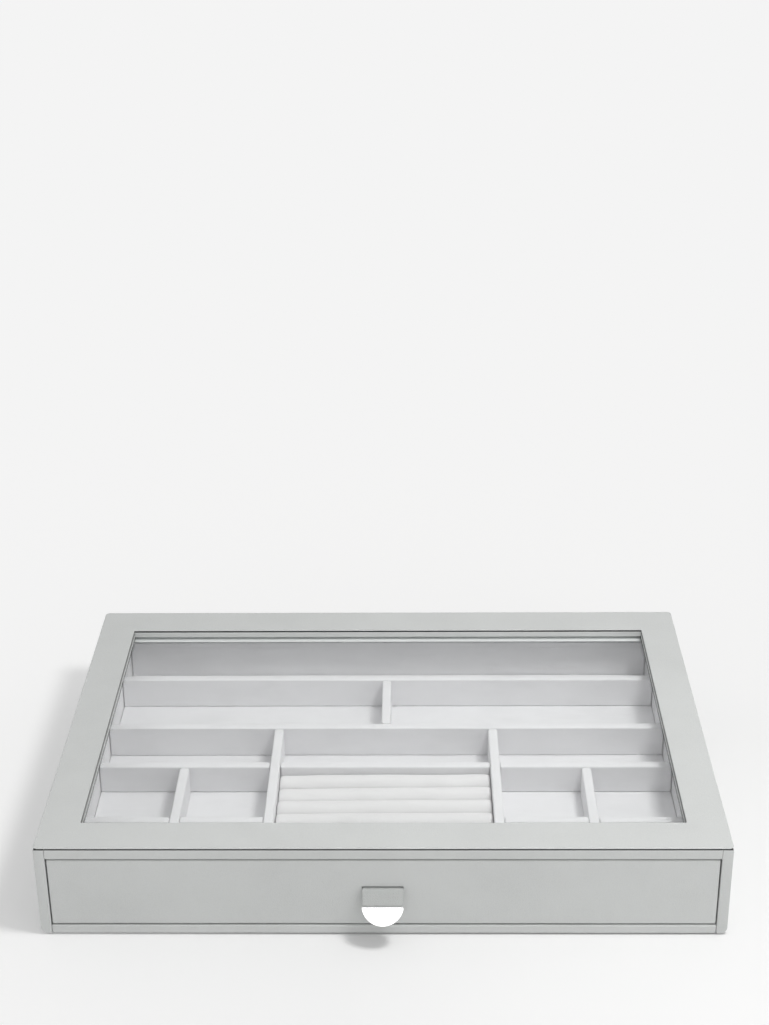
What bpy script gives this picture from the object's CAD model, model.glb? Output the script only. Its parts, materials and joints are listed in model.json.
import json
import math

import bmesh
import bpy
import numpy as np
from mathutils import Matrix, Vector, noise


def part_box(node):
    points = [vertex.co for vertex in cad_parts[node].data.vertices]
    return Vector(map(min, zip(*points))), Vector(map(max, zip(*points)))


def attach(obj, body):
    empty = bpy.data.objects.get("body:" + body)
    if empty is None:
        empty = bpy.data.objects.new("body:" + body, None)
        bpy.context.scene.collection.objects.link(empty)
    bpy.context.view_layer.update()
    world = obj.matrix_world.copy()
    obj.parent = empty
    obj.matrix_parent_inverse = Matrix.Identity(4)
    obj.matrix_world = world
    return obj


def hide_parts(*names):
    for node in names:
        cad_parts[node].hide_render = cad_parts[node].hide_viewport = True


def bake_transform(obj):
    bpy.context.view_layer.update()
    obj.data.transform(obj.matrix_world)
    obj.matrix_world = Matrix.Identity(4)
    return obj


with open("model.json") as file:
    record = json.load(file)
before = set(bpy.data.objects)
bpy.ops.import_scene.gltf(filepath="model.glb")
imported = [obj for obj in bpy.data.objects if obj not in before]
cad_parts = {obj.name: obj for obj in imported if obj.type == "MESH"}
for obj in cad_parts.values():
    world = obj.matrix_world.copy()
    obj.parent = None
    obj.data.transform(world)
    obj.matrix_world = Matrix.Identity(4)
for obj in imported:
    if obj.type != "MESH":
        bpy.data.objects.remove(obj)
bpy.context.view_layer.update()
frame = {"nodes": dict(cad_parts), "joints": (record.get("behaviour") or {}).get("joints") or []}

MM = 0.001
scene = bpy.context.scene


def box_mm(node):
    lo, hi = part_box(node)
    return np.array(lo) * 1000, np.array(hi) * 1000


# ------------------------------------------------------------------ materials
class Nodes:
    """A small helper round a material's node tree."""

    def __init__(self, name):
        self.mat = bpy.data.materials.new(name)
        self.mat.use_nodes = True
        self.t = self.mat.node_tree
        self.t.nodes.clear()
        self.out = self.t.nodes.new("ShaderNodeOutputMaterial")

    def add(self, kind, **values):
        n = self.t.nodes.new(kind)
        for k, v in values.items():
            if hasattr(n, k) and k not in ("Scale",):
                setattr(n, k, v)
            else:
                n.inputs[k.replace("_", " ")].default_value = v
        return n

    def link(self, a, b):
        self.t.links.new(a, b)

    def coords(self, scale=1.0):
        """Object coordinates in millimetres."""
        c = self.add("ShaderNodeTexCoord")
        m = self.add("ShaderNodeMapping")
        m.inputs["Scale"].default_value = (1000 * scale,) * 3
        self.link(c.outputs["Object"], m.inputs["Vector"])
        return m.outputs["Vector"]

    def noise(self, vec, size, detail=2.0, rough=0.5, stretch=None, distort=0.0):
        """Noise with blobs of about size mm; gives the value's socket."""
        if stretch:
            m = self.add("ShaderNodeMapping")
            m.inputs["Scale"].default_value = stretch
            self.link(vec, m.inputs["Vector"])
            vec = m.outputs["Vector"]
        n = self.add("ShaderNodeTexNoise")
        n.inputs["Scale"].default_value = 1.0 / size
        n.inputs["Detail"].default_value = detail
        n.inputs["Roughness"].default_value = rough
        n.inputs["Distortion"].default_value = distort
        self.link(vec, n.inputs["Vector"])
        return n.outputs["Fac"]

    def math(self, op, a, b=None, clamp=False):
        n = self.add("ShaderNodeMath")
        n.operation = op
        n.use_clamp = clamp
        for i, v in enumerate((a, b)):
            if v is None:
                continue
            if isinstance(v, (int, float)):
                n.inputs[i].default_value = v
            else:
                self.link(v, n.inputs[i])
        return n.outputs[0]

    def ramp(self, value, stops):
        n = self.add("ShaderNodeValToRGB")
        el = n.color_ramp.elements
        while len(el) > 1:
            el.remove(el[-1])
        for i, (p, c) in enumerate(stops):
            e = el[0] if i == 0 else el.new(p)
            e.position = p
            e.color = (*c, 1.0) if len(c) == 3 else c
        self.link(value, n.inputs["Fac"])
        return n.outputs["Color"]

    def span(self, value, a, b, lo, hi):
        n = self.add("ShaderNodeMapRange")
        n.inputs["From Min"].default_value = a
        n.inputs["From Max"].default_value = b
        n.inputs["To Min"].default_value = lo
        n.inputs["To Max"].default_value = hi
        self.link(value, n.inputs["Value"])
        return n.outputs["Result"]

    def bump(self, height, distance, strength=1.0, normal=None):
        n = self.add("ShaderNodeBump")
        n.inputs["Strength"].default_value = strength
        n.inputs["Distance"].default_value = distance
        self.link(height, n.inputs["Height"])
        if normal is not None:
            self.link(normal, n.inputs["Normal"])
        return n.outputs["Normal"]

    def principled(self, **values):
        p = self.add("ShaderNodeBsdfPrincipled")
        for k, v in values.items():
            p.inputs[k.replace("_", " ")].default_value = v
        self.link(p.outputs["BSDF"], self.out.inputs["Surface"])
        return p


def tint(c, k):
    return tuple(min(1.0, x * k) for x in c)


def leatherette(name, base, grain=1.0, rough=0.50):
    """Pebble-grained coated fabric: flat-topped pebbles, fine pores, slow wrap waviness, tone variation."""
    n = Nodes(name)
    v = n.coords()
    # warped pebbles
    w = n.add("ShaderNodeTexNoise")
    w.inputs["Scale"].default_value = 0.9
    w.inputs["Detail"].default_value = 2.0
    n.link(v, w.inputs["Vector"])
    wm = n.add("ShaderNodeVectorMath")
    wm.operation = "SCALE"
    n.link(w.outputs["Color"], wm.inputs[0])
    wm.inputs["Scale"].default_value = 0.55
    wa = n.add("ShaderNodeVectorMath")
    wa.operation = "ADD"
    n.link(v, wa.inputs[0])
    n.link(wm.outputs[0], wa.inputs[1])
    vo = n.add("ShaderNodeTexVoronoi")
    vo.feature = "DISTANCE_TO_EDGE"
    vo.inputs["Scale"].default_value = 1.0 / 0.85
    n.link(wa.outputs[0], vo.inputs["Vector"])
    pebble = n.span(vo.outputs["Distance"], 0.0, 0.22, 0.0, 1.0)
    fine = n.noise(v, 0.28, 3.0, 0.6)
    pores = n.noise(v, 0.9, 1.0, 0.5)
    cloud = n.noise(v, 38.0, 3.0, 0.55)
    wave = n.noise(v, 16.0, 2.0, 0.5)
    h = n.math("ADD", n.math("MULTIPLY", pebble, 0.62), n.math("MULTIPLY", fine, 0.22))
    h = n.math("ADD", h, n.math("MULTIPLY", pores, 0.5))
    nrm = n.bump(wave, 0.00030, 0.25)
    nrm = n.bump(h, 0.00009 * grain, 0.8, nrm)
    tone = n.math("ADD", n.math("MULTIPLY", cloud, 0.55), n.math("MULTIPLY", fine, 0.25))
    tone = n.math("ADD", tone, n.math("MULTIPLY", pebble, 0.20))
    col = n.ramp(tone, [(0.28, tint(base, 0.935)), (0.52, base), (0.80, tint(base, 1.045))])
    # bare board and glue show in the seam under the top sheet
    tc = n.add("ShaderNodeTexCoord")
    at = n.add("ShaderNodeSeparateXYZ")
    n.link(tc.outputs["Object"], at.inputs["Vector"])
    geo = n.add("ShaderNodeNewGeometry")
    up = n.add("ShaderNodeSeparateXYZ")
    n.link(geo.outputs["Normal"], up.inputs["Vector"])
    seam = n.math("MULTIPLY", n.span(at.outputs["Z"], 0.05425, 0.05445, 0.0, 1.0), n.span(at.outputs["Z"], 0.05475, 0.05490, 1.0, 0.0))
    seam = n.math("MULTIPLY", seam, n.span(up.outputs["Z"], 0.55, 0.80, 0.0, 1.0))
    # the seam runs a little way down the window's side faces
    side = n.math("MULTIPLY", n.span(at.outputs["Z"], 0.0530, 0.0536, 0.0, 1.0), n.span(n.math("ABSOLUTE", up.outputs["X"]), 0.6, 0.85, 0.0, 1.0))
    side = n.math("MULTIPLY", side, n.span(n.math("ABSOLUTE", at.outputs["X"]), 0.1612, 0.1616, 0.75, 0.0))
    seam = n.math("MAXIMUM", seam, side)
    dim = n.add("ShaderNodeVectorMath")
    dim.operation = "SCALE"
    n.link(col, dim.inputs[0])
    n.link(n.span(seam, 0.0, 1.0, 1.0, 0.10), dim.inputs["Scale"])
    p = n.principled(IOR=1.46, Specular_IOR_Level=0.42)
    n.link(dim.outputs[0], p.inputs["Base Color"])
    n.link(n.span(n.math("ADD", pebble, cloud), 0.4, 1.5, rough + 0.10, rough - 0.05), p.inputs["Roughness"])
    n.link(nrm, p.inputs["Normal"])
    return n.mat


def velvet(name, base, nap=1.0):
    """Short-nap velvet: soft sheen, brushed patches, fine fibre bump."""
    n = Nodes(name)
    v = n.coords()
    fibre = n.noise(v, 0.16, 4.0, 0.7)
    tuft = n.noise(v, 0.55, 2.0, 0.55)
    brushed = n.noise(v, 9.0, 3.0, 0.6, stretch=(0.45, 1.0, 1.0), distort=0.8)
    cloud = n.noise(v, 45.0, 2.0, 0.5)
    tone = n.math("ADD", n.math("MULTIPLY", brushed, 0.38), n.math("MULTIPLY", cloud, 0.22))
    tone = n.math("ADD", tone, n.math("MULTIPLY", fibre, 0.26))
    tone = n.math("ADD", tone, n.math("MULTIPLY", tuft, 0.14))
    col = n.ramp(tone, [(0.30, tint(base, 0.93)), (0.50, base), (0.72, tint(base, 1.04))])
    h = n.math("ADD", n.math("MULTIPLY", fibre, 0.6), n.math("MULTIPLY", tuft, 0.7))
    nrm = n.bump(brushed, 0.00035, 0.25)
    nrm = n.bump(h, 0.00011 * nap, 0.8, nrm)
    p = n.principled(Roughness=0.96, Sheen_Weight=0.22, Sheen_Roughness=0.45, Specular_IOR_Level=0.15)
    p.inputs["Sheen Tint"].default_value = (1.0, 0.99, 1.0, 1.0)
    # the nap lies so that faces looking up are a little paler
    geo = n.add("ShaderNodeNewGeometry")
    sep = n.add("ShaderNodeSeparateXYZ")
    n.link(geo.outputs["Normal"], sep.inputs["Vector"])
    lift = n.add("ShaderNodeVectorMath")
    lift.operation = "SCALE"
    n.link(col, lift.inputs[0])
    n.link(n.span(sep.outputs["Z"], 0.2, 0.95, 0.985, 1.065), lift.inputs["Scale"])
    n.link(lift.outputs[0], p.inputs["Base Color"])
    n.link(n.span(brushed, 0.3, 0.7, 1.0, 0.9), p.inputs["Roughness"])
    n.link(nrm, p.inputs["Normal"])
    return n.mat


LEATHER = leatherette("leatherette_grey", (0.604, 0.618, 0.610))
LEATHER_TAB = leatherette("leatherette_tab", (0.462, 0.477, 0.469), grain=1.9, rough=0.46)
VELVET = velvet("velvet_tray", (0.838, 0.833, 0.846))
VELVET_ROLL = velvet("velvet_rolls", (0.838, 0.828, 0.832), nap=1.3)


def felt_material():
    n = Nodes("felt_grey")
    v = n.coords()
    a = n.noise(v, 0.4, 5.0, 0.75)
    b = n.noise(v, 3.0, 3.0, 0.6, stretch=(1.0, 0.35, 1.0), distort=1.5)
    c = n.noise(v, 30.0, 2.0)
    tone = n.math("ADD", n.math("MULTIPLY", a, 0.5), n.math("ADD", n.math("MULTIPLY", b, 0.3), n.math("MULTIPLY", c, 0.2)))
    base = (0.45, 0.46, 0.45)
    col = n.ramp(tone, [(0.3, tint(base, 0.78)), (0.5, base), (0.72, tint(base, 1.2))])
    nrm = n.bump(n.math("ADD", a, b), 0.00022, 0.9)
    p = n.principled(Sheen_Weight=0.3, Sheen_Roughness=0.6, Specular_IOR_Level=0.1)
    n.link(col, p.inputs["Base Color"])
    n.link(n.span(a, 0.3, 0.7, 1.0, 0.92), p.inputs["Roughness"])
    n.link(nrm, p.inputs["Normal"])
    return n.mat


def card_material():
    n = Nodes("raw_card")
    v = n.coords()
    a = n.noise(v, 0.5, 4.0, 0.7)
    b = n.noise(v, 2.2, 3.0, 0.6, stretch=(1.0, 0.12, 1.0))
    tone = n.math("ADD", n.math("MULTIPLY", a, 0.5), n.math("MULTIPLY", b, 0.5))
    base = (0.58, 0.52, 0.42)
    col = n.ramp(tone, [(0.3, tint(base, 0.82)), (0.52, base), (0.75, tint(base, 1.12))])
    nrm = n.bump(tone, 0.00012, 0.7)
    p = n.principled(Specular_IOR_Level=0.3)
    n.link(col, p.inputs["Base Color"])
    n.link(n.span(a, 0.3, 0.7, 0.93, 0.8), p.inputs["Roughness"])
    n.link(nrm, p.inputs["Normal"])
    return n.mat


def metal_material():
    """Polished plated metal, with hairline polishing marks and a little haze."""
    n = Nodes("polished_metal")
    v = n.coords()
    hair = n.noise(v, 0.10, 2.0, 0.6, stretch=(0.06, 1.0, 1.0))
    haze = n.noise(v, 3.5, 3.0, 0.55)
    col = n.ramp(haze, [(0.3, (0.90, 0.90, 0.905)), (0.7, (0.95, 0.95, 0.95))])
    nrm = n.bump(hair, 0.000004, 0.4)
    p = n.principled(Metallic=1.0)
    n.link(col, p.inputs["Base Color"])
    n.link(n.span(n.math("ADD", haze, n.math("MULTIPLY", hair, 0.4)), 0.4, 1.0, 0.07, 0.15), p.inputs["Roughness"])
    n.link(nrm, p.inputs["Normal"])
    return n.mat


def glass_material():
    """Clear pane: lets light through and mirrors by Fresnel, with a very faint waviness."""
    n = Nodes("clear_glass")
    v = n.coords()
    wave = n.noise(v, 60.0, 1.0, 0.4)
    nrm = n.bump(wave, 0.00004, 0.15)
    fr = n.add("ShaderNodeLayerWeight")
    fr.inputs["Blend"].default_value = 0.5
    n.link(nrm, fr.inputs["Normal"])
    face = n.math("POWER", fr.outputs["Facing"], 5.0)
    mirror = n.math("ADD", n.math("MULTIPLY", face, 0.96), 0.035)
    tr = n.add("ShaderNodeBsdfTransparent")
    tr.inputs["Color"].default_value = (0.985, 0.99, 0.988, 1.0)
    gl = n.add("ShaderNodeBsdfGlossy")
    gl.inputs["Roughness"].default_value = 0.03
    gl.inputs["Color"].default_value = (1.0, 1.0, 1.0, 1.0)
    n.link(nrm, gl.inputs["Normal"])
    mix = n.add("ShaderNodeMixShader")
    n.link(mirror, mix.inputs["Fac"])
    # a narrow ground border on the underside, just inside the window's front and rear edges
    tc = n.add("ShaderNodeTexCoord")
    sep = n.add("ShaderNodeSeparateXYZ")
    n.link(tc.outputs["Object"], sep.inputs["Vector"])
    ay = n.math("ABSOLUTE", n.math("SUBTRACT", sep.outputs["Y"], -0.00042))
    rim = n.math("MULTIPLY", n.span(ay, 0.10158, 0.10178, 0.0, 0.97), n.span(sep.outputs["Z"], 0.0499, 0.0501, 1.0, 0.0))
    ground = n.add("ShaderNodeBsdfDiffuse")
    frost = n.noise(v, 0.25, 3.0, 0.6)
    n.link(n.ramp(frost, [(0.3, (0.84, 0.86, 0.86)), (0.7, (0.92, 0.93, 0.93))]), ground.inputs["Color"])
    edge = n.add("ShaderNodeMixShader")
    n.link(rim, edge.inputs["Fac"])
    n.link(mix.outputs["Shader"], edge.inputs[1])
    n.link(ground.outputs["BSDF"], edge.inputs[2])
    # a line of glue where the glass meets the side rails
    glue = n.add("ShaderNodeBsdfDiffuse")
    glue.inputs["Color"].default_value = (0.16, 0.165, 0.16, 1.0)
    line = n.math("MULTIPLY", n.span(n.math("ABSOLUTE", sep.outputs["X"]), 0.16015, 0.16035, 0.0, 0.55), n.span(sep.outputs["Z"], 0.0508, 0.0509, 0.0, 1.0))
    joint = n.add("ShaderNodeMixShader")
    n.link(line, joint.inputs["Fac"])
    n.link(edge.outputs["Shader"], joint.inputs[1])
    n.link(glue.outputs["BSDF"], joint.inputs[2])
    n.link(tr.outputs["BSDF"], mix.inputs[1])
    n.link(gl.outputs["BSDF"], mix.inputs[2])
    n.link(joint.outputs["Shader"], n.out.inputs["Surface"])
    return n.mat


FELT = felt_material()
CARD = card_material()
METAL = metal_material()
GLASS = glass_material()


# -------------------------------------------------------------------- meshes
def make(name, verts, faces, mat, sharp=38.0):
    """An object from vertices in millimetres."""
    me = bpy.data.meshes.new(name)
    me.from_pydata((np.asarray(verts, float) * MM).tolist(), [], [list(map(int, f)) for f in faces])
    me.validate()
    me.update()
    me.polygons.foreach_set("use_smooth", [True] * len(me.polygons))
    me.set_sharp_from_angle(angle=math.radians(sharp))
    ob = bpy.data.objects.new(name, me)
    scene.collection.objects.link(ob)
    me.materials.append(mat)
    return ob


def wobble(verts, normals, amp, size, seed):
    """A slow, handmade unevenness, always inwards."""
    if amp <= 0:
        return verts
    out = verts.copy()
    s = Vector((seed * 17.3, seed * 5.1, seed * 9.7))
    for i, (p, nn) in enumerate(zip(verts, normals)):
        k = 0.5 + 0.5 * noise.noise(Vector(p) / size + s) + 0.2 * noise.noise(Vector(p) / (size * 0.35) + s)
        out[i] = p - nn * amp * min(max(k, 0.0), 1.2)
    return out


def edge_axis(lo, hi, r, seg, cell, extra=()):
    e = [r * (1 - math.tan(math.radians(45 * (1 - k / seg)))) for k in range(seg + 1)]
    a, b = [lo + x for x in e], [hi - x for x in e][::-1]
    if hi - lo > 2 * r + 1.4:
        a.append(lo + r + 0.4)
        b.insert(0, hi - r - 0.4)
    inner0, inner1 = a[-1], b[0]
    n = max(1, int(round((inner1 - inner0) / cell)))
    mid = [inner0 + (inner1 - inner0) * k / n for k in range(1, n)]
    pts = sorted(a + mid + b + list(extra))
    out = [pts[0]]
    for x in pts[1:]:
        if x - out[-1] > 0.02:
            out.append(x)
    out[-1] = hi
    return np.array(out)


def rbox(name, lo, hi, mat, r=0.8, seg=3, cell=7.0, amp=0.0, size=28.0, seed=1, extra=((), (), ()), shape=None):
    """A box with rounded edges, gridded finely enough to carry a handmade unevenness."""
    lo, hi = np.array(lo, float), np.array(hi, float)
    r = min(r, float((hi - lo).min()) * 0.49)
    ax = [edge_axis(lo[k], hi[k], r, seg, cell, extra[k]) for k in range(3)]
    nx, ny, nz = map(len, ax)
    I, J, K = np.meshgrid(range(nx), range(ny), range(nz), indexing="ij")
    skin = (I == 0) | (I == nx - 1) | (J == 0) | (J == ny - 1) | (K == 0) | (K == nz - 1)
    idx = -np.ones((nx, ny, nz), int)
    idx[skin] = np.arange(skin.sum())
    p = np.stack([ax[0][I[skin]], ax[1][J[skin]], ax[2][K[skin]]], 1)
    inner = np.clip(p, lo + r, hi - r)
    d = p - inner
    d /= np.linalg.norm(d, axis=1)[:, None]
    v = inner + d * r
    if shape is not None:
        v = shape(v, d)
    v = wobble(v, d, amp, size, seed)
    faces = []

    def side(a, flip):
        q = np.stack([a[:-1, :-1], a[1:, :-1], a[1:, 1:], a[:-1, 1:]], -1).reshape(-1, 4)
        faces.extend((q[:, ::-1] if flip else q).tolist())

    side(idx[0], True)
    side(idx[-1], False)
    side(idx[:, 0], False)
    side(idx[:, -1], True)
    side(idx[:, :, 0], True)
    side(idx[:, :, -1], False)
    return make(name, v, faces, mat)


def fillet(points, radii, seg=4, cell=7.0):
    """A closed outline with rounded corners and points along its long sides; gives points and outward normals."""
    P = [np.array(p, float) for p in points]
    n = len(P)
    out = []
    for i in range(n):
        a, p, b = P[i - 1], P[i], P[(i + 1) % n]
        u, w = (a - p) / np.linalg.norm(a - p), (b - p) / np.linalg.norm(b - p)
        phi = math.acos(float(np.clip(u @ w, -1, 1)))
        r = radii[i]
        if r <= 0 or phi > math.pi - 0.02:
            out.append([p])
            continue
        t = r / math.tan(phi / 2)
        c = p + (u + w) / np.linalg.norm(u + w) * r / math.sin(phi / 2)
        s, e = p + u * t - c, p + w * t - c
        arc = []
        for k in range(seg + 1):
            f = k / seg
            om = math.acos(float(np.clip((s @ e) / (r * r), -1, 1)))
            q = (math.sin((1 - f) * om) * s + math.sin(f * om) * e) / math.sin(om)
            arc.append(c + q)
        out.append([p + u * (t + 0.4)] + arc + [p + w * (t + 0.4)])
    pts = []
    for i in range(n):
        grp, nxt = out[i], out[(i + 1) % n]
        pts.extend(grp)
        a, b = grp[-1], nxt[0]
        m = int(np.linalg.norm(b - a) // cell)
        pts.extend([a + (b - a) * k / (m + 1) for k in range(1, m + 1)])
    pts = np.array(pts)
    nxt, prv = np.roll(pts, -1, 0), np.roll(pts, 1, 0)
    t = nxt - pts
    t /= np.linalg.norm(t, axis=1)[:, None]
    t2 = pts - prv
    t2 /= np.linalg.norm(t2, axis=1)[:, None]
    tt = t + t2
    tt /= np.linalg.norm(tt, axis=1)[:, None]
    return pts, np.stack([tt[:, 1], -tt[:, 0]], 1)


def run(name, pts, nrm, axis, a0, a1, mat, end_r=0.6, seg=3, cell=7.0, amp=0.0, size=28.0, seed=1):
    """An outline (counter-clockwise in XZ, or in YZ for axis x) run along an axis, with eased ends."""
    st = []
    for k in range(seg + 1):
        th = math.radians(90 * (1 - k / seg))
        st.append((end_r * (1 - math.sin(th)), end_r * (1 - math.cos(th))))
    inner = a1 - a0 - 2 * (end_r + 0.4)
    m = max(1, int(round(inner / cell)))
    pos = [(a0 + e, i) for e, i in st] + [(a0 + end_r + 0.4 + inner * k / m, 0.0) for k in range(m + 1)] + [(a1 - e, i) for e, i in st[::-1]]
    n, V, N = len(pts), [], []
    for x, ins in pos:
        q = pts - nrm * ins
        if axis == "y":
            V += [(a, x, b) for a, b in q]
            N += [(a, 0, b) for a, b in nrm]
        else:
            V += [(x, a, b) for a, b in q]
            N += [(0, a, b) for a, b in nrm]
    V = wobble(np.array(V, float), np.array(N, float), amp, size, seed)
    faces = []
    for s in range(len(pos) - 1):
        for i in range(n):
            j = (i + 1) % n
            q = [s * n + i, s * n + j, (s + 1) * n + j, (s + 1) * n + i]
            faces.append(q if axis == "x" else q[::-1])
    first, last = list(range(n)), [(len(pos) - 1) * n + i for i in range(n)]
    faces.append(first[::-1] if axis == "x" else first)
    faces.append(last if axis == "x" else last[::-1])
    return make(name, V, faces, mat)


def stands_for(ob, slot, body, *nodes):
    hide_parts(*nodes)
    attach(ob, body)
    return ob


# ---------------------------------------------------------------------- case
def board(node, name, body, r, amp, seed, mat=None, slot="leatherette", **kw):
    lo, hi = box_mm(node)
    ob = rbox(name, lo, hi, mat or LEATHER, r=r, amp=amp, seed=seed, **kw)
    return stands_for(ob, slot, body, node)


board("base_felt", "felt_sheet", "case", 0.3, 0.12, 3, FELT, "felt", size=12.0)
board("case_base", "base_board", "case", 0.9, 0.10, 4)
board("case_back", "back_board", "case", 0.8, 0.12, 5)

for sign, node, name in ((-1, "case_left_side", "left_side_board"), (1, "case_right_side", "right_side_board")):
    lo, hi = box_mm(node)
    inn, out = (hi[0], lo[0]) if sign < 0 else (lo[0], hi[0])
    poly = [(inn, hi[2]), (inn, lo[2]), (out, lo[2]), (out, hi[2])]
    rad = [0.55, 0.55, 3.4, 0.8]
    if sign < 0:
        poly, rad = poly[::-1], rad[::-1]
    pts, nrm = fillet(poly, rad, 5)
    ob = run(name, pts, nrm, "y", lo[1], hi[1], LEATHER, end_r=0.5, amp=0.10, seed=6 + sign)
    stands_for(ob, "leatherette", "case", node)

g_lo, g_hi = box_mm("glass_pane")
f_lo, f_hi = box_mm("top_facing")
fr_lo, fr_hi = box_mm("front_top_rail")
rr_lo, rr_hi = box_mm("rear_top_rail")
lr_lo, lr_hi = box_mm("left_top_rail")
WIN_X, WIN_Y0, WIN_Y1 = -lr_hi[0], fr_hi[1], rr_lo[1]
LEDGE, RAB = g_hi[0] + 0.1, g_hi[2] + 0.05


def rail_outline(outer, inner, ledge, z0, z1, zr, flip):
    """Outer edge to the window edge, with the rabbet under it; counter-clockwise as seen with the first axis to the right."""
    poly = [(inner, zr), (ledge, zr), (ledge, z0), (outer, z0), (outer, z1), (inner, z1)]
    rad = [0.25, 0.0, 0.3, 0.6, 0.55, 0.7]
    if flip:
        poly, rad = poly[::-1], rad[::-1]
    return fillet(poly, rad, 4)


pts, nrm = rail_outline(fr_lo[1], fr_hi[1], g_lo[1] - 0.1, fr_lo[2], fr_hi[2], RAB, True)
ob = run("front_rail", pts, nrm, "x", fr_lo[0], fr_hi[0], LEATHER, end_r=0.22, amp=0.06, seed=8)
stands_for(ob, "leatherette", "case", "front_top_rail")
pts, nrm = rail_outline(rr_hi[1], rr_lo[1], g_hi[1] + 0.1, rr_lo[2], rr_hi[2], RAB, False)
ob = run("rear_rail", pts, nrm, "x", rr_lo[0], rr_hi[0], LEATHER, end_r=0.22, amp=0.06, seed=9)
stands_for(ob, "leatherette", "case", "rear_top_rail")
for sign, node, name in ((-1, "left_top_rail", "left_rail"), (1, "right_top_rail", "right_rail")):
    lo, hi = box_mm(node)
    outer = lo[0] if sign < 0 else hi[0]
    pts, nrm = rail_outline(outer, sign * WIN_X, sign * LEDGE, lo[2], hi[2], RAB, sign < 0)
    ob = run(name, pts, nrm, "y", lo[1], hi[1], LEATHER, end_r=0.15, amp=0.06, seed=10 + sign)
    stands_for(ob, "leatherette", "case", node)

ob = rbox("glass_sheet", g_lo, g_hi, GLASS, r=0.35, seg=2, cell=60.0)
stands_for(ob, "glass", "case", "glass_pane")


def facing():
    """The wrapped sheet on top: rounded outer corners, a soft outer edge and a crisp turned-in window edge."""
    x0, y0, z0 = f_lo
    x1, y1, z1 = f_hi
    R = 2.6
    corners = [((x1 - R, y0 + R), -90, (WIN_X, WIN_Y0)), ((x1 - R, y1 - R), 0, (WIN_X, WIN_Y1)),
               ((x0 + R, y1 - R), 90, (-WIN_X, WIN_Y1)), ((x0 + R, y0 + R), 180, (-WIN_X, WIN_Y0))]
    q = 0.5                                   # radius of the window's corners
    st = []                                   # outer point, outer normal, inner point, inner (inward) normal
    for ci in range(4):
        (cx, cy), a0, (wx, wy) = corners[ci]
        sx, sy = math.copysign(1, wx), math.copysign(1, wy)
        wc = (wx - sx * q, wy - sy * q)
        for k in range(7):
            a = math.radians(a0 + 90 * k / 6)
            nv = np.array((math.cos(a), math.sin(a)))
            st.append((np.array((cx, cy)) + R * nv, nv, np.array(wc) + q * nv, nv))
        (nx_, ny_), b0, (vx, vy) = corners[(ci + 1) % 4]
        a = math.radians(a0 + 90)
        nv = np.array((math.cos(a), math.sin(a)))
        o0, o1 = st[-1][0], np.array((nx_, ny_)) + R * nv
        tx, ty = math.copysign(1, vx), math.copysign(1, vy)
        i0, i1 = st[-1][2], np.array((vx - tx * q, vy - ty * q)) + q * nv
        m = int(np.linalg.norm(o1 - o0) // 7)
        for k in range(1, m + 1):
            f = k / (m + 1)
            st.append((o0 + (o1 - o0) * f, nv, i0 + (i1 - i0) * f, nv))
    ro, ri = 0.50, 0.38
    V, N = [], []
    per = None
    for o, no, i, ni in st:
        ring = []
        up, dn = np.array((0, 0, 1.0)), np.array((0, 0, -1.0))
        n3o, n3i = np.array((*no, 0)), -np.array((*ni, 0))
        O, I = np.array((*o, 0)), np.array((*i, 0))

        def arc(c, a, b, r, n=4):
            for k in range(n + 1):
                t = math.radians(90 * k / n)
                d = a * math.cos(t) + b * math.sin(t)
                ring.append((c + d * r, d))

        # lower outer edge, outer edge, top, window edge, lower window edge
        zu = z0 + 0.60                                    # the wrap is turned under, which leaves a fine shadow line
        ring.append((O - n3o * 2.9 + np.array((0, 0, z0)), dn))
        ring.append((O - n3o * 2.9 + np.array((0, 0, z0 + 0.2)), n3o))
        ring.append((O - n3o * 2.8 + np.array((0, 0, zu)), dn))
        arc(O - n3o * 0.12 + np.array((0, 0, zu + 0.12)), dn, n3o, 0.12, 2)
        arc(O - n3o * ro + np.array((0, 0, z1 - ro)), n3o, up, ro)
        flat0, flat1 = O - n3o * (ro + 0.4), I - n3i * (ri + 0.4)
        for k in range(0, 5):
            ring.append((flat0 + (flat1 - flat0) * k / 4 + np.array((0, 0, z1)), up))
        arc(I - n3i * ri + np.array((0, 0, z1 - ri)), up, n3i, ri)
        zw = z0 + 0.78
        arc(I - n3i * 0.1 + np.array((0, 0, zw + 0.1)), n3i, dn, 0.1, 2)
        ring.append((I - n3i * 2.8 + np.array((0, 0, zw)), dn))
        ring.append((I - n3i * 2.9 + np.array((0, 0, z0 + 0.2)), n3i))
        f0, f1 = I - n3i * 3.0, O - n3o * 3.5
        for k in range(0, 4):
            ring.append((f0 + (f1 - f0) * k / 3 + np.array((0, 0, z0)), dn))
        per = len(ring)
        V += [p for p, _ in ring]
        N += [d for _, d in ring]
    V = wobble(np.array(V), np.array(N), 0.09, 30.0, 12)
    faces = []
    n = len(st)
    for s in range(n):
        t = (s + 1) % n
        for k in range(per):
            l = (k + 1) % per
            faces.append([s * per + k, t * per + k, t * per + l, s * per + l])
    return make("top_frame_facing", V, faces, LEATHER)


stands_for(facing(), "leatherette", "case", "top_facing")

# -------------------------------------------------------------------- drawer
board("drawer_base", "drawer_bottom", "drawer", 0.5, 0.08, 13)
board("drawer_left_side", "drawer_side_left", "drawer", 0.7, 0.08, 15)
board("drawer_right_side", "drawer_side_right", "drawer", 0.7, 0.08, 16)
board("drawer_back", "drawer_rear", "drawer", 0.7, 0.08, 17)

d_lo, d_hi = box_mm("drawer_front")
PIVOT = np.array((0.0, -128.1, 30.4))
for j in frame["joints"]:
    if j["name"] == "tab_flex" and j.get("pos_m"):
        PIVOT = np.array(j["pos_m"], float) * 1000
TAB_Z = float(PIVOT[2])
SLOT_W, SLOT_H = 22.2, 1.8


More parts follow.
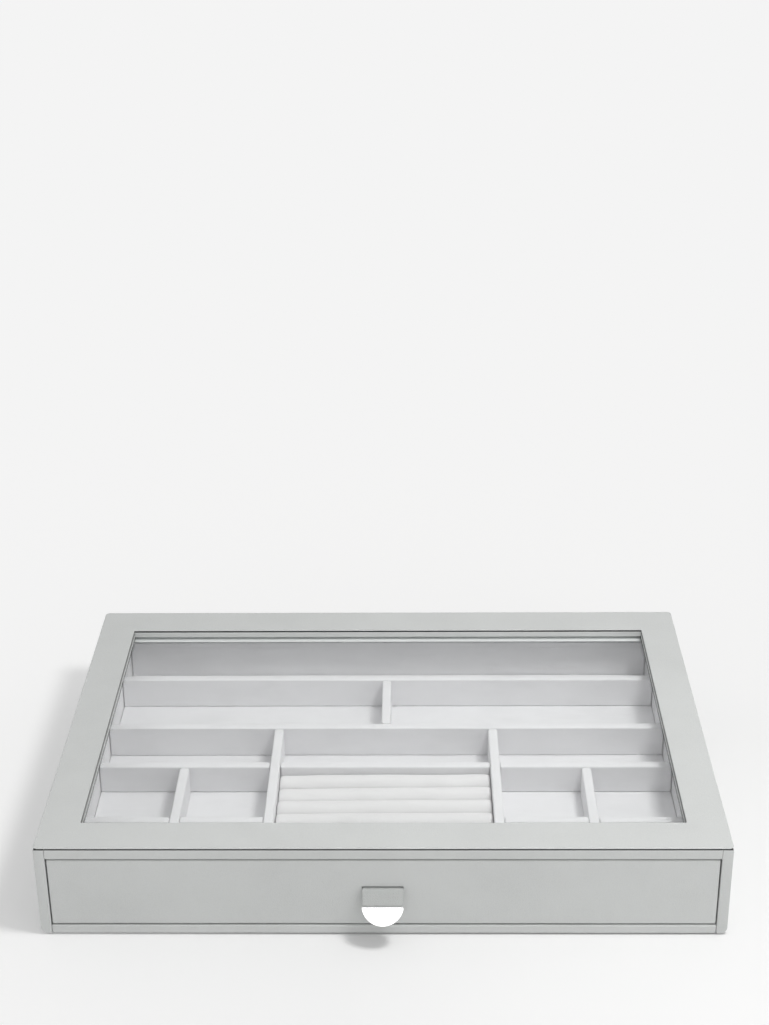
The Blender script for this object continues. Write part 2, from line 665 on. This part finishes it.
def apply_modifiers(ob):
    dg = bpy.context.evaluated_depsgraph_get()
    me = bpy.data.meshes.new_from_object(ob.evaluated_get(dg))
    ob.modifiers.clear()
    old = ob.data
    ob.data = me
    bpy.data.meshes.remove(old)
    return ob


def cut_out(ob, cutter):
    m = ob.modifiers.new("cut", "BOOLEAN")
    m.operation, m.solver, m.object = "DIFFERENCE", "EXACT", cutter
    apply_modifiers(ob)
    bpy.data.objects.remove(cutter)
    return ob


def press(v, d):
    """The wrap dips a little round the tab slot, where it is turned in."""
    out = v.copy()
    for i, (p, n) in enumerate(zip(v, d)):
        if n[1] < -0.7:
            dx = max(abs(p[0]) - SLOT_W / 2, 0.0)
            dz = max(abs(p[2] - TAB_Z) - SLOT_H / 2, 0.0)
            k = math.exp(-((dx * dx + dz * dz) / 1.3))
            out[i, 1] += 0.16 * k
    return out


near = [TAB_Z + x for x in (-4.5, -3.2, -2.3, -1.6, -1.2, 1.2, 1.6, 2.3, 3.2, 4.5)]
side = [s * (SLOT_W / 2 + x) for s in (-1, 1) for x in (-0.5, 0.3, 0.8, 1.6, 2.6, 4.0)]
ob = rbox("drawer_front_panel", d_lo, d_hi, LEATHER, r=0.85, seg=4, cell=6.0, amp=0.10, size=30.0, seed=18,
          extra=(side, (), near), shape=press)
cutter = rbox("cutter", (-SLOT_W / 2, d_lo[1] - 3, TAB_Z - SLOT_H / 2), (SLOT_W / 2, d_hi[1] + 3, TAB_Z + SLOT_H / 2),
              LEATHER, r=0.75, seg=3, cell=60.0)
cut_out(ob, cutter)
ob.data.set_sharp_from_angle(angle=math.radians(38))
stands_for(ob, "leatherette", "drawer", "drawer_front")

s_lo, s_hi = box_mm("drawer_sub_front")
ob = rbox("drawer_inner_front", s_lo, s_hi, LEATHER, r=0.6, cell=7.0, amp=0.06, seed=14)
cutter = rbox("cutter", (-12, s_lo[1] - 2, TAB_Z - 14), (12, s_lo[1] + 1.8, TAB_Z + 2), LEATHER, r=0.4, seg=2, cell=60.0)
cut_out(ob, cutter)
ob.data.set_sharp_from_angle(angle=math.radians(38))
stands_for(ob, "leatherette", "drawer", "drawer_sub_front")

# ---------------------------------------------------------------- velvet tray
for k, node in enumerate(("tray_left_wall", "tray_right_wall", "tray_rear_wall", "tray_front_wall")):
    board(node, node.replace("tray_", "velvet_"), "drawer", 1.1, 0.16, 20 + k, VELVET, "velvet", size=18.0, cell=6.0)
board("tray_floor", "velvet_floor", "drawer", 0.6, 0.14, 25, VELVET, "velvet", size=22.0, cell=6.0)
def round_ends(node, both_ways=2.3, drop=1.0):
    """Divider boards are padded at their ends, which round off in plan and at the top."""
    lo, hi = box_mm(node)
    along = 0 if hi[0] - lo[0] > hi[1] - lo[1] else 1
    across = 1 - along
    c, half = (lo[across] + hi[across]) / 2, (hi[across] - lo[across]) / 2

    def shape(v, d):
        out = v.copy()
        e = np.minimum(v[:, along] - lo[along], hi[along] - v[:, along])
        u = np.clip(e / both_ways, 0, 1)
        w = (half - both_ways + np.sqrt(np.maximum(both_ways ** 2 - (both_ways - u * both_ways) ** 2, 0))) / half
        out[:, across] = c + (v[:, across] - c) * w
        f = np.clip((v[:, 2] - lo[2]) / (hi[2] - lo[2]), 0, 1) ** 4
        out[:, 2] = v[:, 2] - drop * (1 - np.sqrt(np.maximum(1 - (1 - u) ** 2, 0))) * f
        # the padding swells the top a touch between its edges
        q = (v[:, across] - c) / half
        out[:, 2] -= 0.28 * np.abs(q) ** 2.5 * f
        return out

    es = [0.15, 0.4, 0.8, 1.3, 1.8, 2.4, 3.4]
    extra = [(), (), ()]
    extra[along] = [lo[along] + x for x in es] + [hi[along] - x for x in es]
    extra[across] = [c - 1.2, c, c + 1.2]
    return shape, tuple(extra)


dividers = [n for n in frame["nodes"] if n.startswith("divider_")]
for k, node in enumerate(sorted(dividers)):
    lo, hi = box_mm(node)
    if hi[1] - lo[1] > hi[0] - lo[0]:
        shape, extra = round_ends(node)
    else:
        shape, extra = round_ends(node, 1.2, 0.5)
    board(node, "velvet_" + node, "drawer", 0.75, 0.16, 30 + k, VELVET, "velvet", size=15.0, cell=4.0, shape=shape, extra=extra)
for node in ("floor_packer_left", "floor_packer_middle", "floor_packer_right"):
    board(node, "card_" + node, "drawer", 0.25, 0.05, 50, CARD, "card", cell=12.0)


def ring_roll(node, k, count):
    """A foam roll in a velvet cover: a crowned section that leans and swells a little along its length."""
    lo, hi = box_mm(node)
    yc, w, z0, z1 = (lo[1] + hi[1]) / 2, hi[1] - lo[1], lo[2], hi[2]
    sec = []                                    # angle round the section, foot corners softened
    n_dome, r = 18, w / 2
    for i in range(n_dome + 1):
        a = math.pi * i / n_dome
        c, s = math.cos(a), math.sin(a)
        sec.append((r * math.copysign(abs(c) ** 0.92, c), (z1 - r) + r * s - z0))
    sec += [(-r, (z1 - r - z0) * f) for f in (0.75, 0.45, 0.2)]
    sec += [(-r + 0.45, 0.12), (-r + 1.2, 0.0), (-r * 0.4, 0.0), (r * 0.4, 0.0), (r - 1.2, 0.0), (r - 0.45, 0.12)]
    sec += [(r, (z1 - r - z0) * f) for f in (0.2, 0.45, 0.75)]
    sec = np.array(sec)
    height = z1 - z0
    ends = [0.0, 0.15, 0.45, 0.9, 1.5, 2.3, 3.4]
    L = hi[0] - lo[0]
    m = 46
    xs = [lo[0] + e for e in ends] + [lo[0] + 4.6 + (L - 9.2) * i / m for i in range(m + 1)] + [hi[0] - e for e in ends[::-1]]
    V = []
    for x in xs:
        e = min(x - lo[0], hi[0] - x)
        u = min(e / 3.4, 1.0)
        tuck = math.sqrt(max(0.0, 1 - (1 - u) ** 2))           # 0 at the cut end
        body = noise.noise(Vector((x / 34.0, 3.1 * k, 0.7)))
        fine = noise.noise(Vector((x / 9.0, 5.7 * k, 2.2)))
        lean = 0.34 * noise.noise(Vector((x / 55.0, 0.4, 8.8))) + 0.16 * noise.noise(Vector((x / 28.0, 7.9 * k, 4.4)))
        left = 1.0 - (x - lo[0]) / L
        tilt = (0.95, 2.1, 1.3, 0.9, 1.2, 0.8, 1.0)[(k - 1) % 7] * left ** 1.3 * 0.8
        for y, z in sec:
            f = max(0.0, min(1.0, z / height))
            top = f ** 2
            zz = z * (1 - 0.14 * (1 - tuck) * top) - (0.22 + 0.30 * body + 0.12 * fine + tilt) * top
            yy = y * (0.985 - 0.06 * (1 - tuck) * f) + lean * f
            V.append((x, yc + yy, z0 + max(0.0, zz)))
    n = len(sec)
    V = np.array(V)
    faces = []
    for s in range(len(xs) - 1):
        for i in range(n):
            j = (i + 1) % n
            faces.append([s * n + i, s * n + j, (s + 1) * n + j, (s + 1) * n + i])
    faces.append(list(range(n))[::-1])
    faces.append([(len(xs) - 1) * n + i for i in range(n)])
    V[:, 1] = np.clip(V[:, 1], yc - w / 2 - 0.12, yc + w / 2 + 0.12)
    ob = make(node.replace("ring_roll", "velvet_ring_roll"), V, faces, VELVET_ROLL, sharp=60)
    ob = stands_for(ob, "roll_velvet", "drawer", node)


rolls = sorted(n for n in frame["nodes"] if n.startswith("ring_roll_"))
for k, node in enumerate(rolls):
    ring_roll(node, k + 1, len(rolls))

# ------------------------------------------------------------------ pull tab
REST = math.radians(37)
DOWN = np.array((-math.sin(REST), -math.cos(REST)))       # (y, z) along the tab from the pivot


def leather_strip():
    """One strip: glued down behind the front, up and out through the slot, then down to the cap."""
    py, pz = PIVOT[1], PIVOT[2]
    back = s_lo[1] + 0.3 + 0.55
    path = []                                              # (y, z, half width, half thickness)

    def line(a, b, n, w, t, skip=False):
        for k in range(1 if skip else 0, n + 1):
            path.append((a[0] + (b[0] - a[0]) * k / n, a[1] + (b[1] - a[1]) * k / n, w, t))

    def arc(c, r, a0, a1, n, w, t):
        for k in range(1, n + 1):
            a = math.radians(a0 + (a1 - a0) * k / n)
            path.append((c[0] + r * math.cos(a), c[1] + r * math.sin(a), w, t))

    w, t, rb = 10.6, 0.55, 0.75
    line((back, pz - 12.9), (back, pz - rb), 8, w, t)
    arc((back - rb, pz - rb), rb, 0, 90, 6, w, t)
    turn = math.degrees(math.atan2(math.cos(REST), math.sin(REST)))  # 53 degrees down from level
    R = 0.7
    tl = R * math.tan(math.radians(turn) / 2)
    low = pz - 0.42                                        # the strip lies on the slot's lower lip
    meet = (low - pz) / DOWN[1]                            # where its level part would meet the hanging part
    my = py + DOWN[0] * meet
    line((back - rb, pz), (d_hi[1] - 0.5, pz - 0.1), 4, 10.8, 0.55, True)
    line((d_hi[1] - 0.5, pz - 0.1), (d_lo[1] + 1.0, low), 6, 10.8, 0.47, True)
    line((d_lo[1] + 1.0, low), (my + tl, low), 5, 10.8, 0.47, True)
    arc((my + tl, low - R), R, 90, 90 + turn, 8, 10.8, 0.52)
    p0 = (my + DOWN[0] * tl, low + DOWN[1] * tl)
    e = 8.85
    line(p0, (py + DOWN[0] * (e - 0.15), pz + DOWN[1] * (e - 0.15)), 16, 10.8, 0.6, True)
    path.append((py + DOWN[0] * e, pz + DOWN[1] * e, 10.65, 0.46))
    path.append((py + DOWN[0] * (e + 0.03), pz + DOWN[1] * (e + 0.03), 9.7, 0.40))
    line((py + DOWN[0] * (e + 0.3), pz + DOWN[1] * (e + 0.3)), (py + DOWN[0] * 14.15, pz + DOWN[1] * 14.15), 5, 9.7, 0.4)
    P = np.array(path)
    tan = np.gradient(P[:, :2], axis=0)
    tan /= np.linalg.norm(tan, axis=1)[:, None]
    nor = np.stack([-tan[:, 1], tan[:, 0]], 1)
    V = []
    ncol = 22
    sec = []
    er = 0.30                                              # eased leather edges
    for k in range(ncol + 1):
        sec.append((-1 + 2 * k / ncol, 1.0, 0))
    ring_n = None
    for s, (y, z, hw, ht) in enumerate(path):
        ring = []
        xs = [-hw + er + (2 * hw - 2 * er) * k / ncol for k in range(ncol + 1)]
        for x in xs:                                       # face towards the normal
            ring.append((x, ht))
        for a in (60, 30, 0, -30, -60):
            ring.append((hw - er + er * math.cos(math.radians(a)), (ht - er) * (1 if a > 0 else -1 if a < 0 else 0) + er * math.sin(math.radians(a))))
        for x in xs[::-1]:
            ring.append((x, -ht))
        for a in (240, 210, 180, 150, 120):
            ring.append((-hw + er + er * math.cos(math.radians(a)), (ht - er) * (-1 if a > 180 else 1 if a < 180 else 0) + er * math.sin(math.radians(a))))
        ring_n = len(ring)
        for x, h in ring:
            k = noise.noise(Vector((x / 5.0, s * 0.22, 3.3)))
            hh = h - math.copysign(0.05 * (0.5 + 0.5 * k), h) if ht > 0.5 else h
            V.append((x, y + nor[s, 0] * hh, z + nor[s, 1] * hh))
    faces = []
    for s in range(len(path) - 1):
        for i in range(ring_n):
            j = (i + 1) % ring_n
            faces.append([s * ring_n + i, (s + 1) * ring_n + i, (s + 1) * ring_n + j, s * ring_n + j])
    faces.append(list(range(ring_n)))
    faces.append([(len(path) - 1) * ring_n + i for i in range(ring_n)][::-1])
    ob = make("leather_pull_strip", V, faces, LEATHER_TAB, sharp=50)
    bm = bmesh.new()
    bm.from_mesh(ob.data)
    bmesh.ops.recalc_face_normals(bm, faces=bm.faces)
    bm.to_mesh(ob.data)
    bm.free()
    return ob


strip = leather_strip()
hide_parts("tab_tail", "tab_strip")
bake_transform(strip)


def cap():
    """Half-moon metal cap: straight top edge, one arc below, eased edges, a pocket for the leather."""
    W, L, T, S, top = 11.0, 10.2, 1.3, 1.2, -9.15
    sag = L - S
    R = (W * W + sag * sag) / (2 * sag)
    cz = -L + R
    a0 = math.atan2(-S - cz, W)
    out = [(W, -0.28), (W - 0.04, -0.13), (W - 0.13, -0.04), (W - 0.28, 0.0)]
    out += [(x, 0.0) for x in np.linspace(W - 1.2, -W + 1.2, 15)]
    out += [(-W + 0.28, 0.0), (-W + 0.13, -0.04), (-W + 0.04, -0.13), (-W, -0.28)]
    n = 60
    for i in range(n + 1):
        a = (math.pi - a0) + ((2 * a0 - math.pi) + 2 * math.pi) * (i / n)
        out.append((R * math.cos(a), cz + R * math.sin(a)))
    out = np.array(out)
    nx, pv = np.roll(out, -1, 0), np.roll(out, 1, 0)
    t = nx - pv
    t /= np.linalg.norm(t, axis=1)[:, None]
    nrm = np.stack([t[:, 1], -t[:, 0]], 1)                 # outline is counter-clockwise
    r = 0.26
    rings = []
    for k in range(6):
        th = math.radians(90 * k / 5)
        rings.append((-T + r * (1 - math.sin(th)), r * (1 - math.cos(th)) if k else r))
    prof = []
    for k in range(6):                                     # front edge, then the side, then the back edge
        th = math.radians(90 * k / 5)
        prof.append((-T + r - r * math.cos(th), r - r * math.sin(th)))
    prof += [(T - r + r * math.sin(math.radians(90 * k / 5)), r - r * math.cos(math.radians(90 * k / 5))) for k in range(6)]
    prof = [(-T, r + 0.7)] + prof + [(T, r + 0.7)]
    V = []
    for y, ins in prof:
        for p, q in zip(out, nrm):
            c = p - q * ins
            V.append((c[0], y, top + c[1]))
    m = len(out)
    faces = []
    for s in range(len(prof) - 1):
        for i in range(m):
            j = (i + 1) % m
            faces.append([s * m + i, (s + 1) * m + i, (s + 1) * m + j, s * m + j])
    faces.append(list(range(m)))
    faces.append([(len(prof) - 1) * m + i for i in range(m)][::-1])
    ob = make("metal_tab_cap", V, faces, METAL, sharp=42)
    bm = bmesh.new()
    bm.from_mesh(ob.data)
    bmesh.ops.recalc_face_normals(bm, faces=bm.faces)
    bm.to_mesh(ob.data)
    bm.free()
    cutter = rbox("cutter", (-10.05, -0.7, top - 5.6), (10.05, 0.7, top + 2), METAL, r=0.3, seg=2, cell=60.0)
    cut_out(ob, cutter)
    ob.data.transform(Matrix.Translation(Vector(PIVOT * MM)) @ Matrix.Rotation(-REST, 4, "X"))
    ob.data.set_sharp_from_angle(angle=math.radians(42))
    return ob


stands_for(cap(), "polished_metal", "tab", "tab_cap")

# --------------------------------------------------------------------- stage
KEY_POS = np.array((0.285, -0.205, 0.775))
KEY_AIM = np.array((0.0, 0.0, 0.03))
KEY_SIZE = 0.18
KEY_W = 2.90                                   # watts
WORLD = 0.61
FLOOR_A = 0.89                                 # floor albedo
FLOOR_C = 0.905                                # radiance of the open floor


def area(name, pos, aim, sx, sy, watts, color=(1, 1, 1), glossy_only=False):
    d = bpy.data.lights.new(name, "AREA")
    d.shape, d.size, d.size_y, d.energy, d.color = "RECTANGLE", sx, sy, watts, color
    o = bpy.data.objects.new(name, d)
    scene.collection.objects.link(o)
    o.location = Vector(pos)
    o.rotation_mode = "QUATERNION"
    o.rotation_quaternion = (Vector(aim) - Vector(pos)).to_track_quat("-Z", "Y")
    o.visible_camera = False
    if glossy_only:
        o.visible_diffuse = False
        o.visible_transmission = False
        o.visible_volume_scatter = False
    return o


area("key_softbox", KEY_POS, KEY_AIM, KEY_SIZE, KEY_SIZE, KEY_W, (1.0, 0.997, 0.99))
# a soft fill from the front right
FILL_POS, FILL_AIM, FILL_W = np.array((0.55, -0.75, 0.25)), np.array((0.0, -0.10, 0.03)), 0.52
area("front_right_fill", FILL_POS, FILL_AIM, 0.45, 0.30, FILL_W)
# a bright card behind the camera that only shiny surfaces see
area("card_behind_camera", (0.05, -2.3, 1.75), (0, -0.13, 0.02), 2.6, 1.5, 2.6 * 1.5 * math.pi * 1.35, glossy_only=True)

world = bpy.data.worlds.new("studio")
world.use_nodes = True
bg = world.node_tree.nodes.get("Background") or world.node_tree.nodes.new("ShaderNodeBackground")
bg.inputs["Color"].default_value = (1.0, 1.0, 1.0, 1.0)
bg.inputs["Strength"].default_value = WORLD
scene.world = world


def floor_material():
    """Plain pale paper. Its own glow makes up for the key light falling off with distance, so that the open floor is even."""
    n = Nodes("pale_floor")
    tc = n.add("ShaderNodeTexCoord")

    def lit_by(pos, at, watts):
        aim = at - pos
        aim = aim / np.linalg.norm(aim)
        sub = n.add("ShaderNodeVectorMath")
        sub.operation = "SUBTRACT"
        n.link(tc.outputs["Object"], sub.inputs[0])
        sub.inputs[1].default_value = tuple(pos)
        ln = n.add("ShaderNodeVectorMath")
        ln.operation = "LENGTH"
        n.link(sub.outputs[0], ln.inputs[0])
        dot = n.add("ShaderNodeVectorMath")
        dot.operation = "DOT_PRODUCT"
        n.link(sub.outputs[0], dot.inputs[0])
        dot.inputs[1].default_value = tuple(aim)
        d = ln.outputs["Value"]
        cs = n.math("MAXIMUM", n.math("DIVIDE", dot.outputs["Value"], d), 0.0)
        cr = n.math("DIVIDE", float(pos[2]), d)
        return n.math("MULTIPLY", n.math("DIVIDE", n.math("MULTIPLY", cs, cr), n.math("MULTIPLY", d, d)), watts / math.pi * FLOOR_A / math.pi)

    both = n.math("ADD", lit_by(KEY_POS, KEY_AIM, KEY_W), lit_by(FILL_POS, FILL_AIM, FILL_W))
    glow = n.math("MAXIMUM", n.math("SUBTRACT", FLOOR_C - FLOOR_A * WORLD, both), 0.0)
    grain = n.noise(n.coords(), 1.2, 3.0, 0.6)
    dif = n.add("ShaderNodeBsdfDiffuse")
    dif.inputs["Color"].default_value = (FLOOR_A, FLOOR_A, FLOOR_A, 1.0)
    n.link(n.bump(grain, 0.00002, 0.2), dif.inputs["Normal"])
    em = n.add("ShaderNodeEmission")
    n.link(glow, em.inputs["Strength"])
    addn = n.add("ShaderNodeAddShader")
    n.link(dif.outputs["BSDF"], addn.inputs[0])
    n.link(em.outputs["Emission"], addn.inputs[1])
    n.link(addn.outputs["Shader"], n.out.inputs["Surface"])
    return n.mat


fm = bpy.data.meshes.new("floor")
S = 8.0
fm.from_pydata([(-S, -S, 0), (S, -S, 0), (S, S, 0), (-S, S, 0)], [], [(0, 1, 2, 3)])
fm.materials.append(floor_material())
floor = bpy.data.objects.new("floor", fm)
scene.collection.objects.link(floor)

# -------------------------------------------------------------------- camera
cam_data = bpy.data.cameras.new("camera")
cam = bpy.data.objects.new("camera", cam_data)
scene.collection.objects.link(cam)
cam_data.sensor_width, cam_data.lens = 36.0, 63.31
cam_data.clip_start, cam_data.clip_end = 0.01, 50.0
yaw, pitch, roll = map(math.radians, (1.00004, 25.49624, -0.60719))
cy, sy, cp, sp, cr, sr = math.cos(yaw), math.sin(yaw), math.cos(pitch), math.sin(pitch), math.cos(roll), math.sin(roll)
right, fwd = np.array((cy, sy, 0.0)), np.array((-sy * cp, cy * cp, -sp))
up = np.cross(right, fwd)
rx, ux = right * cr + up * sr, -right * sr + up * cr
m = Matrix.Identity(4)
for k in range(3):
    m[k][0], m[k][1], m[k][2] = rx[k], ux[k], -fwd[k]
m[0][3], m[1][3], m[2][3] = 0.016497, -0.897056, 0.616150
cam.matrix_world = m
scene.camera = cam
scene.view_settings.view_transform = "Standard"
scene.view_settings.look = "None"
